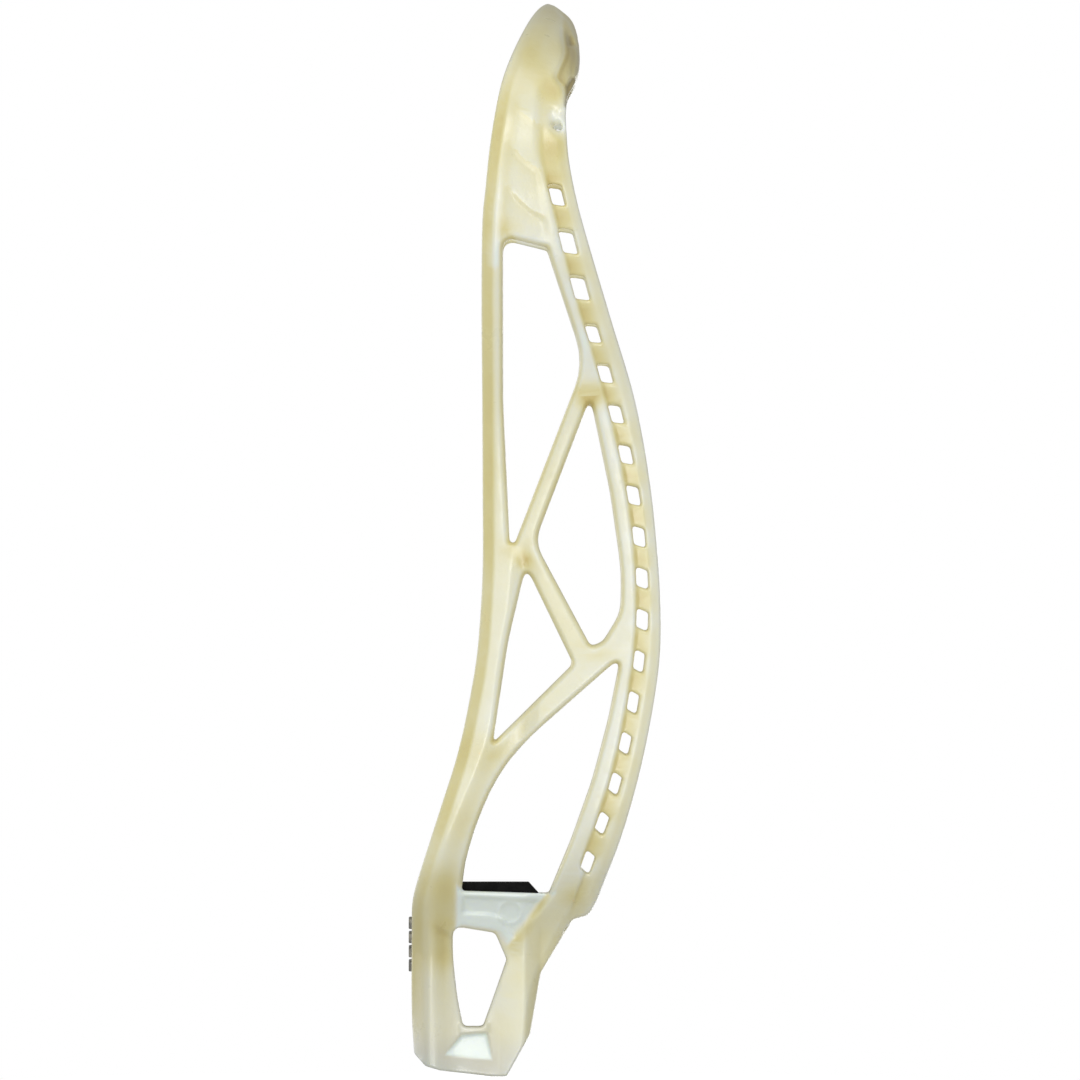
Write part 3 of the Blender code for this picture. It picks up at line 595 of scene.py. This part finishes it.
def frame_field():
    """The frame's field on the half grid, as an array over x, y and z."""
    outline, windows, holes = side_fields()
    cut_back = relief(windows)
    cut_at_ends = scoop_relief(SIDE_X, SIDE_Z)
    outer = front_field(OUTER_HALF)
    pocket = front_field(POCKET_HALF)
    side = np.maximum(outline, -windows)
    whole = np.full((len(X_AXIS), len(Y_AXIS), len(Z_AXIS)), FIELD_REACH, np.float32)
    for i, x in enumerate(X_AXIS):
        rows = side[i] < FIELD_REACH
        if not rows.any():
            continue
        y, z = np.meshgrid(Y_AXIS, Z_AXIS[rows], indexing="ij")
        cut, drawn, hole = cut_back[i][rows], side[i][rows], holes[i][rows]
        cut = np.minimum(cut + cut_at_ends[i][rows] * soft_ramp(y, *SCOOP_END), MOST_CUT)
        body = at_depth(outer, OUTER_DEPTHS, HEAD_TOP, x, y, z, THROAT_CHAMFER)
        body = meet(body + cut, np.broadcast_to(drawn, body.shape), OUTLINE_ROUND)
        hollow = at_depth(pocket, POCKET_DEPTHS, POCKET_HALF[-1][1], x, y, z)
        body = meet(body, -hollow - np.maximum(cut - WALL_KEPT_TO, 0), POCKET_ROUND)
        body = meet(body, -np.broadcast_to(hole, body.shape), STRING_HOLE_ROUND)
        socket = octagon_field(x, y, SOCKET_DEPTH, SOCKET_WIDTH, SOCKET_CHAMFER)
        body = meet(body, -np.maximum(socket, z - SOCKET_TOP), BORE_ROUND)
        bores = bores_field(x, y, z)
        if bores is not None:
            body = meet(body, -bores, BORE_ROUND)
        if x > TOP_HOLE[0][0] - 2:
            body = meet(body, -rod_field(*TOP_HOLE, TOP_HOLE_RADIUS, x, y, z), TOP_HOLE_ROUND)
        whole[i][:, rows] = np.clip(body, -FIELD_REACH, FIELD_REACH)
    return whole


def blurred(field, times):
    """The field averaged with its neighbours, which rounds its inner corners as a mould's are."""
    for _ in range(times):
        for axis in range(3):
            along = np.moveaxis(field, axis, 0)
            along[1:-1] = 0.25 * along[:-2] + 0.5 * along[1:-1] + 0.25 * along[2:]
    return field


def mirrored(half):
    """The whole head's field, from the half on one side of Y = 0."""
    return np.concatenate([half[:, :0:-1], half], 1)


def mesh_of(field, name):
    """The field's zero level as a mesh in metres, decimated to the most triangles allowed."""
    grid = openvdb.FloatGrid(background=FIELD_REACH)
    grid.copyFromArray(field)
    points, _, quads = grid.convertToPolygons(isovalue=0.0, adaptivity=0.0)
    low = np.array((X_AXIS[0], -Y_AXIS[-1], Z_AXIS[0]))
    fine = bpy.data.meshes.new(name)
    fine.from_pydata(((points * CELL + low) * MM).tolist(), [], quads.tolist())
    carrier = bpy.data.objects.new(name, fine)
    bpy.context.scene.collection.objects.link(carrier)
    fewer = carrier.modifiers.new("fewer", "DECIMATE")
    fewer.ratio = MOST_TRIANGLES / (2 * len(quads))
    mesh = bpy.data.meshes.new_from_object(carrier.evaluated_get(bpy.context.evaluated_depsgraph_get()))
    mesh.name = name
    bpy.data.objects.remove(carrier)
    bpy.data.meshes.remove(fine)
    return mesh


def slopes_of(half, places):
    """The field's direction outwards at each place, as unit vectors."""
    slopes = np.stack([
        sampled(half, places + step) - sampled(half, places - step) for step in np.eye(3) * 0.9 * CELL
    ], 1)
    return slopes / np.maximum(np.linalg.norm(slopes, axis=1, keepdims=True), 1e-9)


def mend_folds(mesh, half):
    """Collapses the shortest edge of each sliver that the decimation folded over."""
    for _ in range(MENDING_ROUNDS):
        shape = bmesh.new()
        shape.from_mesh(mesh)
        shape.faces.ensure_lookup_table()
        middles = np.array([face.calc_center_median() for face in shape.faces]) / MM
        normals = np.array([face.normal for face in shape.faces])
        agreement = (normals * slopes_of(half, middles)).sum(1)
        folded = [shape.faces[i] for i in np.nonzero(agreement < LEAST_AGREEMENT)[0]]
        shortest = {min(face.edges, key=lambda edge: (edge.calc_length(), edge.index)) for face in folded}
        bmesh.ops.collapse(shape, edges=sorted(shortest, key=lambda edge: edge.index))
        shape.to_mesh(mesh)
        shape.free()


def shade_from_field(mesh, half):
    """Normals read off the field, so that the larger triangles don't show."""
    mesh.shade_smooth()
    mesh.normals_split_custom_set_from_vertices(slopes_of(half, mesh_points(mesh) / MM).tolist())


def add(name, mesh, body, material):
    """A visible piece with this material, riding on this body."""
    piece = bpy.data.objects.new(name, mesh)
    bpy.context.scene.collection.objects.link(piece)
    piece.data.materials.append(material)
    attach(piece, body)
    return piece


def mesh_points(mesh):
    """The mesh's points in metres, one to a row."""
    points = np.empty(len(mesh.vertices) * 3, np.float32)
    mesh.vertices.foreach_get("co", points)
    return points.reshape(-1, 3).astype(float)


def sampled(field, places):
    """The half field's value at each place, in millimetres."""
    low = np.array((X_AXIS[0], 0.0, Z_AXIS[0]))
    places = places.copy()
    places[:, 1] = np.abs(places[:, 1])
    at = np.clip((places - low) / CELL, 0, np.array(field.shape) - 1.001)
    base = at.astype(int)
    part = at - base
    value = np.zeros(len(places))
    for corner in np.ndindex(2, 2, 2):
        share = np.prod(np.where(corner, part, 1 - part), 1)
        value += share * field[tuple((base + corner).T)]
    return value


def box_blur(field, reach):
    """The mean over a cube of cells that reaches this many cells each way."""
    for axis in range(3):
        along = np.moveaxis(field, axis, 0)
        padded = np.concatenate([along[reach:0:-1], along, along[-2:-reach - 2:-1]])
        sums = np.concatenate([np.zeros_like(padded[:1]), np.cumsum(padded, 0)])
        width = 2 * reach + 1
        field = np.moveaxis((sums[width:] - sums[:-width]) / width, 0, axis)
    return field


# ---------------------------------------- materials

def new_material(name):
    """A new material, its nodes, its links and its main shader."""
    material = bpy.data.materials.new(name)
    material.use_nodes = True
    nodes, links = material.node_tree.nodes, material.node_tree.links
    return material, nodes, links, nodes["Principled BSDF"]


def noise_of(material, scale, detail):
    """The output of a noise texture in the object's own space."""
    nodes, links = material.node_tree.nodes, material.node_tree.links
    texture = nodes.new("ShaderNodeTexNoise")
    texture.inputs["Scale"].default_value = scale
    texture.inputs["Detail"].default_value = detail
    place = nodes.new("ShaderNodeTexCoord")
    links.new(place.outputs["Object"], texture.inputs["Vector"])
    return texture.outputs["Fac"]


def mapped(material, value, low, high):
    """The value's middle range, 0.3 to 0.7, mapped to low and high."""
    node = material.node_tree.nodes.new("ShaderNodeMapRange")
    node.inputs["From Min"].default_value = 0.3
    node.inputs["From Max"].default_value = 0.7
    node.inputs["To Min"].default_value = low
    node.inputs["To Max"].default_value = high
    material.node_tree.links.new(value, node.inputs["Value"])
    return node.outputs["Result"]


def mottle(material, first, second, share):
    """A base colour between these two, nearer the second where the share's output is higher."""
    nodes, links = material.node_tree.nodes, material.node_tree.links
    mix = nodes.new("ShaderNodeMix")
    mix.data_type = "RGBA"
    mix.inputs["A"].default_value = (*first, 1)
    mix.inputs["B"].default_value = (*second, 1)
    links.new(share, mix.inputs["Factor"])
    links.new(mix.outputs["Result"], nodes["Principled BSDF"].inputs["Base Color"])


def add_bump(material, height, distance, strength=1.0):
    """Bump of this depth in metres, from the height's output."""
    bump = material.node_tree.nodes.new("ShaderNodeBump")
    bump.inputs["Strength"].default_value = strength
    bump.inputs["Distance"].default_value = distance
    material.node_tree.links.new(height, bump.inputs["Height"])
    shader = material.node_tree.nodes["Principled BSDF"]
    material.node_tree.links.new(bump.outputs["Normal"], shader.inputs["Normal"])


def nylon_material():
    """Undyed nylon: pale where it is thin, golden where it is thick, and darkened by painted shade over the
    throat and in its crevices.
    """
    material, nodes, links, shader = new_material("nylon")
    bulk = nodes.new("ShaderNodeAttribute")
    bulk.attribute_name = "bulk"
    cloud = mapped(material, noise_of(material, 38.0, 3.0), 0.0, 0.16)
    depth = nodes.new("ShaderNodeMath")
    depth.operation = "ADD"
    links.new(cloud, depth.inputs[0])
    links.new(bulk.outputs["Fac"], depth.inputs[1])
    colours = nodes.new("ShaderNodeValToRGB")
    stops = colours.color_ramp
    stops.elements[0].position, stops.elements[0].color = NYLON_COLOURS[0]
    stops.elements[1].position, stops.elements[1].color = NYLON_COLOURS[-1]
    for position, colour in NYLON_COLOURS[1:-1]:
        stops.elements.new(position).color = colour
    links.new(depth.outputs[0], colours.inputs["Fac"])
    # Painted shade over the throat and in the crevices at the scoop's ends darkens the colour
    painted_shade = nodes.new("ShaderNodeAttribute")
    painted_shade.attribute_name = "painted_shade"
    darker = nodes.new("ShaderNodeMix")
    darker.data_type = "RGBA"
    darker.blend_type = "MULTIPLY"
    darker.inputs["B"].default_value = PAINTED_SHADE_TINT
    links.new(painted_shade.outputs["Fac"], darker.inputs["Factor"])
    links.new(colours.outputs["Color"], darker.inputs["A"])
    links.new(darker.outputs["Result"], shader.inputs["Base Color"])
    links.new(mapped(material, noise_of(material, 160.0, 4.0), 0.26, 0.4), shader.inputs["Roughness"])
    add_bump(material, noise_of(material, 700.0, 2.0), 0.00006)
    shader.inputs["IOR"].default_value = 1.5
    shader.inputs["Coat Weight"].default_value = 0.3
    shader.inputs["Coat Roughness"].default_value = 0.16
    shader.inputs["Subsurface Weight"].default_value = 0.3
    shader.inputs["Subsurface Radius"].default_value = NYLON_SCATTER
    shader.inputs["Subsurface Scale"].default_value = NYLON_SCATTER_SCALE
    return material


def foam_material():
    """Black closed-cell foam: fine open pores on its cut faces, and a faint grey dust."""
    material, nodes, links, shader = new_material("foam")
    cells = nodes.new("ShaderNodeTexVoronoi")
    cells.inputs["Scale"].default_value = 1500.0
    place = nodes.new("ShaderNodeTexCoord")
    links.new(place.outputs["Object"], cells.inputs["Vector"])
    dusty = mapped(material, noise_of(material, 260.0, 4.0), 0.0, 1.0)
    mottle(material, (0.003, 0.003, 0.003), (0.012, 0.012, 0.012), dusty)
    shader.inputs["Roughness"].default_value = 0.82
    shader.inputs["Specular IOR Level"].default_value = 0.15
    add_bump(material, cells.outputs["Distance"], 0.0002, 0.6)
    return material


def steel_material():
    """Zinc-plated steel, faintly brushed and spotted."""
    material, _, links, shader = new_material("steel")
    spots = mapped(material, noise_of(material, 420.0, 4.0), 0.0, 1.0)
    mottle(material, (0.50, 0.50, 0.52), (0.64, 0.63, 0.61), spots)
    shader.inputs["Metallic"].default_value = 1.0
    links.new(mapped(material, noise_of(material, 900.0, 3.0), 0.22, 0.42), shader.inputs["Roughness"])
    add_bump(material, noise_of(material, 1600.0, 2.0), 0.00002)
    return material


def ink_material():
    """Dark ink rubbed over the raised bars, worn through to the nylon here and there."""
    material, _, links, shader = new_material("ink")
    worn = mapped(material, noise_of(material, 300.0, 4.0), -0.3, 0.5)
    mottle(material, (0.16, 0.155, 0.14), (0.66, 0.62, 0.50), worn)
    links.new(mapped(material, noise_of(material, 700.0, 3.0), 0.3, 0.55), shader.inputs["Roughness"])
    add_bump(material, noise_of(material, 900.0, 3.0), 0.0001)
    return material


# ---------------------------------------- pieces

def tone_changes(x, z):
    """Where the nylon looks paler than its thickness says (below 0), and where deeper (above 0), with
    painted highlights and painted shade among them.
    """
    tone = throat_tone(x, z) + rail_tone(x, z) + scoop_tone(x, z)
    for pool_x, pool_z, radius, strength in POOLS_AND_SHADE:
        tone += strength * hill(np.hypot(x - pool_x, z - pool_z), radius)
    return tone


def throat_tone(x, z):
    """Paler on the plate, and on the sill as a painted highlight; deeper on the bevel beside the plate, and
    behind the member's ridge as painted shade.
    """
    to_strip, _ = line_distance(PLATE_STRIP, x, z)
    behind_ridge = signed(MEMBER_RIDGE, x, z, 2)
    tone = PLATE_TONE * soft_ramp(inside_distance(PLATE, x, z), 1.0, -1.0)
    # The sill is paler as a painted highlight
    tone += SILL_HIGHLIGHT_TONE * soft_ramp(inside_distance(SILL, x, z), 0.5, -0.5)
    tone += THROAT_TONE * soft_ramp(z, 58, 34) + MOUTH_TONE * soft_ramp(z, 16, 4)
    tone += STRIP_TONE * hill(to_strip, 1.3)
    # Behind the member's ridge the colour deepens as painted shade
    return tone + MEMBER_SHADE_TONE * soft_ramp(behind_ridge, 0, 1.5) * band(z, 4, 14, 40, 52)


def rail_tone(x, z):
    """Deeper along the edges, the windows and the string holes, and paler where a highlight is painted
    along the flat.
    """
    to_face, _ = line_distance(curve_through(FACE_EDGE, 2), x, z)
    to_string, _ = line_distance(curve_through(STRING_LINE, 3), x, z)
    to_highlight, _ = line_distance(curve_through(FLAT_HIGHLIGHT, 2), x, z)
    to_window, to_next = np.sort([inside_distance(rounded(window), x, z) for window in WINDOWS], 0)[:2]
    at_edge = soft_ramp(to_face, 4.1, 2.3) * band(z, 6, 24, 272, 300)
    tone = FACE_EDGE_TONE * at_edge * (0.5 + 0.5 * soft_ramp(z, 50, 90))
    tone += FACE_RAIL_TONE * soft_ramp(to_face, 7.5, 5) * soft_ramp(z, 130, 160)
    tone += STRING_TONE * soft_ramp(to_string, 2.8, 1.6) * soft_ramp(z, 266, 258)
    tone += WINDOW_TONE * soft_ramp(to_window, 1.5, 0.5) * soft_ramp(z, 50, 60)
    tone += STRUT_TONE * soft_ramp(to_next, 6.5, 4.5)  # a strut has a window on each side
    tone += STEP_TONE * soft_ramp(past_string_step(x, z, 2), -0.4, 0.6) * band(z, 44, 56, 262, 286)
    # A painted highlight along the face rail's flat
    return tone + FLAT_HIGHLIGHT_TONE * soft_ramp(to_highlight, 2.2, 0.6) * soft_ramp(z, 270, 246)


def scoop_tone(x, z):
    """Deeper behind the scoop's crease and down each course; paler on the crease, the rim and the top
    hole's dish, as painted highlights.
    """
    in_panel = soft_ramp(inside_distance(PANEL, x, z), 0.8, -2.4) * soft_ramp(z, 296, 274)
    to_dimple, _ = line_distance(TOP_DIMPLE, x, z)
    to_rim, _ = line_distance(curve_through(SCOOP_BACK, 4), x, z)
    past_crease = in_front_of_crease(x, z)
    tone = in_panel * (COURSE_TONE * courses(x, z) ** 5 + PANEL_TONE)
    tone += SCOOP_TONE * soft_ramp(z, 292, 304)
    tone += LIP_TONE * soft_ramp(-past_crease, 0, 1.2) * soft_ramp(z, 281, 285)
    # A painted highlight along the crease
    tone += CREASE_HIGHLIGHT_TONE * hill(past_crease, 0.5) * band(z, 282, 285, 302, 307)
    # A painted highlight along the scoop's rim
    tone += RIM_HIGHLIGHT_TONE * hill(to_rim - 1.2, 0.5) * soft_ramp(z, *RIM_HEIGHTS) * soft_ramp(x, 22, 24)
    # A painted highlight in the dish round the top hole
    return tone + DIMPLE_HIGHLIGHT_TONE * hill(to_dimple, 1.4)


def painted_shades(x, y, z):
    """How much painted shade darkens the nylon: over the throat, and more in the crevices at the scoop's
    ends.
    """
    off_plate = soft_ramp(inside_distance(PLATE, x, z), -1.0, 0.5)
    off_sill = soft_ramp(inside_distance(SILL, x, z), -0.5, 0.5)
    throat = THROAT_SHADE * soft_ramp(z, 66, 38) * soft_ramp(x, 12, 2) + MOUTH_SHADE * soft_ramp(z, 15, 5)
    pit = PIT_SHADE * soft_ramp(inside_distance(SCOOP_PIT, x, z), 0.5, -0.3)
    gap = GAP_SHADE * soft_ramp(inside_distance(SCOOP_GAP, x, z), 0.5, -0.3)
    past_crease = in_front_of_crease(x, z)
    lip = LIP_SHADE * (soft_ramp(-past_crease, 0, 1) + hill(past_crease + 1.2, 0.6))
    lip = lip * band(z, 281, 285, 300, 308)
    at_ends = np.maximum(np.maximum(pit, gap), lip) * soft_ramp(abs(y), *SCOOP_END_SHADE)
    return throat * off_plate * off_sill + at_ends


def store(mesh, name, values):
    """One value for each of the mesh's points, which a material can read by this name."""
    layer = mesh.attributes.new(name, "FLOAT", "POINT")
    layer.data.foreach_set("value", values.astype(np.float32))


def make_frame():
    """The moulded frame, with the values that its colour follows."""
    half = blurred(frame_field(), 1)
    mesh = mesh_of(mirrored(half), "head_frame_moulding")
    mend_folds(mesh, half)
    places = mesh_points(mesh) / MM
    x, y, z = places.T
    solid = box_blur(box_blur((half < 0).astype(np.float32), BULK_REACH), BULK_REACH)
    share = (sampled(solid, places) - THIN_BULK) / (THICK_BULK - THIN_BULK)
    in_throat = 0.3 + 0.7 * soft_ramp(z, 12, 55)  # the throat's walls are thick, and pale all the same
    store(mesh, "bulk", BULK_TONE * share * in_throat + tone_changes(x, z))
    # The painted shade over the throat and in the scoop's crevices, which the nylon's material reads
    store(mesh, "painted_shade", painted_shades(x, y, z))
    shade_from_field(mesh, half)
    piece = add("head_frame_moulding", mesh, "head", nylon_material())
    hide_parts("head_frame")


def bevelled(mesh, width, segments=3):
    """Every edge of the mesh rounded, and the mesh's small faces shaded smooth."""
    shape = bmesh.new()
    shape.from_mesh(mesh)
    bmesh.ops.bevel(
        shape, geom=shape.edges[:], offset=width, segments=segments, profile=0.5, affect="EDGES"
    )
    shape.to_mesh(mesh)
    shape.free()
    mesh.shade_smooth()
    return mesh


def prism(name, outline, axis, low, high):
    """A closed prism: the outline's points in the other two axes, drawn out along this one."""
    points = []
    for end in (low, high):
        for u, v in outline:
            point = [u, v]
            point.insert(axis, end)
            points.append(point)
    count = len(outline)
    faces = [tuple(range(count)), tuple(range(2 * count - 1, count - 1, -1))]
    faces += [(i, i + count, (i + 1) % count + count, (i + 1) % count) for i in range(count)]
    mesh = bpy.data.meshes.new(name)
    mesh.from_pydata((np.array(points) * MM).tolist(), [], faces)
    shape = bmesh.new()
    shape.from_mesh(mesh)
    bmesh.ops.recalc_face_normals(shape, faces=shape.faces)
    shape.to_mesh(mesh)
    shape.free()
    return mesh


def make_bars():
    """The raised bars on the front of the throat."""
    material = ink_material()
    half, tall = BAR_LENGTH / 2, BAR_HEIGHT / 2
    lean = math.tan(BAR_SLANT) * half
    for i in range(BARS):
        z = BAR_Z + i * BAR_STEP
        left, right = z - lean, z + lean
        outline = [(-half, left - tall), (half, right - tall), (half, right + tall), (-half, left + tall)]
        name = f"throat_bar_{i + 1}"
        mesh = prism(name, outline, 0, THROAT_FACE_X - BAR_PROUD, THROAT_FACE_X + BAR_SUNK)
        add(name, bevelled(mesh, BAR_ROUND * MM), "head", material)


def make_uneven(mesh):
    """Splits the mesh's long edges and moves its points a little inwards, each by its own amount."""
    shape = bmesh.new()
    shape.from_mesh(mesh)
    for _ in range(3):
        long = [edge for edge in shape.edges if edge.calc_length() > FOAM_LONGEST_EDGE * MM]
        bmesh.ops.subdivide_edges(shape, edges=long, cuts=1, use_grid_fill=True)
    bmesh.ops.triangulate(shape, faces=[face for face in shape.faces if len(face.verts) > 4])
    for point in shape.verts:
        point.co -= point.normal * FOAM_UNEVEN * MM * (1 + noise.noise(point.co * FOAM_LUMPS))
    shape.to_mesh(mesh)
    shape.free()
    mesh.shade_smooth()


def make_foam():
    """The ball stop's foam: a cut strip on the shelf, with rounded edges and an uneven surface."""
    low, high = (np.array(corner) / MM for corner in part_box("ball_stop_foam"))
    outline = [
        (low[0], STOP_Z), (high[0], STOP_Z), (high[0] - FOAM_CHAMFER, high[2]),
        (low[0] + FOAM_FRONT, high[2]), (low[0], high[2] - FOAM_FRONT),
    ]
    mesh = bevelled(prism("ball_stop_strip", outline, 1, low[1], high[1]), FOAM_ROUND * MM)
    make_uneven(mesh)
    piece = add("ball_stop_strip", mesh, "head", foam_material())
    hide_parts("ball_stop_foam")


def dress_screw():
    """The screw keeps the CAD model's mesh and gets a finer material."""
    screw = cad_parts["shaft_screw"]
    screw.data.materials.clear()
    screw.data.materials.append(steel_material())


# ---------------------------------------- floor, light and camera

def make_stage():
    """A small pale floor that shows to the camera and leaves the light on the head alone."""
    bpy.ops.mesh.primitive_circle_add(vertices=96, radius=FLOOR_RADIUS, fill_type="NGON")
    floor = bpy.context.object
    floor.name = "floor"
    material, _, _, shader = new_material("floor")
    shader.inputs["Base Color"].default_value = (0.9, 0.9, 0.9, 1)
    shader.inputs["Roughness"].default_value = 0.9
    shader.inputs["Emission Color"].default_value = (1, 1, 1, 1)
    shader.inputs["Emission Strength"].default_value = FLOOR_GLOW
    floor.data.materials.append(material)
    floor.visible_diffuse = False
    floor.visible_glossy = False
    floor.visible_shadow = False


def area_light(name, place, size, power):
    """A soft rectangular light that points at the head's middle."""
    light = bpy.data.lights.new(name, "AREA")
    light.shape = "RECTANGLE"
    light.size, light.size_y = size
    light.energy = power
    lamp = bpy.data.objects.new(name, light)
    lamp.location = place
    lamp.rotation_euler = (Vector(LIGHT_AIM) - Vector(place)).to_track_quat("-Z", "Y").to_euler()
    lamp.visible_camera = False
    bpy.context.scene.collection.objects.link(lamp)


def make_light():
    """A world that looks white and lights the head softly, and the soft lights around it."""
    world = bpy.data.worlds.new("studio")
    world.use_nodes = True
    nodes, links = world.node_tree.nodes, world.node_tree.links
    background = nodes["Background"]
    path = nodes.new("ShaderNodeLightPath")
    strength = nodes.new("ShaderNodeMapRange")
    strength.inputs["To Min"].default_value = WORLD_LIGHT
    strength.inputs["To Max"].default_value = 1.0
    links.new(path.outputs["Is Camera Ray"], strength.inputs["Value"])
    links.new(strength.outputs["Result"], background.inputs["Strength"])
    background.inputs["Color"].default_value = (1, 1, 1, 1)
    bpy.context.scene.world = world
    bpy.context.scene.view_settings.view_transform = "Standard"
    for light in LIGHTS:
        area_light(*light)


def make_camera():
    """A camera far out along -Y, which sees the head from its side."""
    camera = bpy.data.cameras.new("camera")
    camera.lens = LENS
    camera.clip_start = 0.1
    camera.clip_end = 100.0
    eye = bpy.data.objects.new("camera", camera)
    eye.location = (VIEW_X * MM, -VIEW_WIDTH * MM * camera.lens / camera.sensor_width, VIEW_Z * MM)
    eye.rotation_euler = (math.radians(90), 0, 0)
    bpy.context.scene.collection.objects.link(eye)
    bpy.context.scene.camera = eye


make_frame()
make_bars()
make_foam()
dress_screw()
make_stage()
make_light()
make_camera()
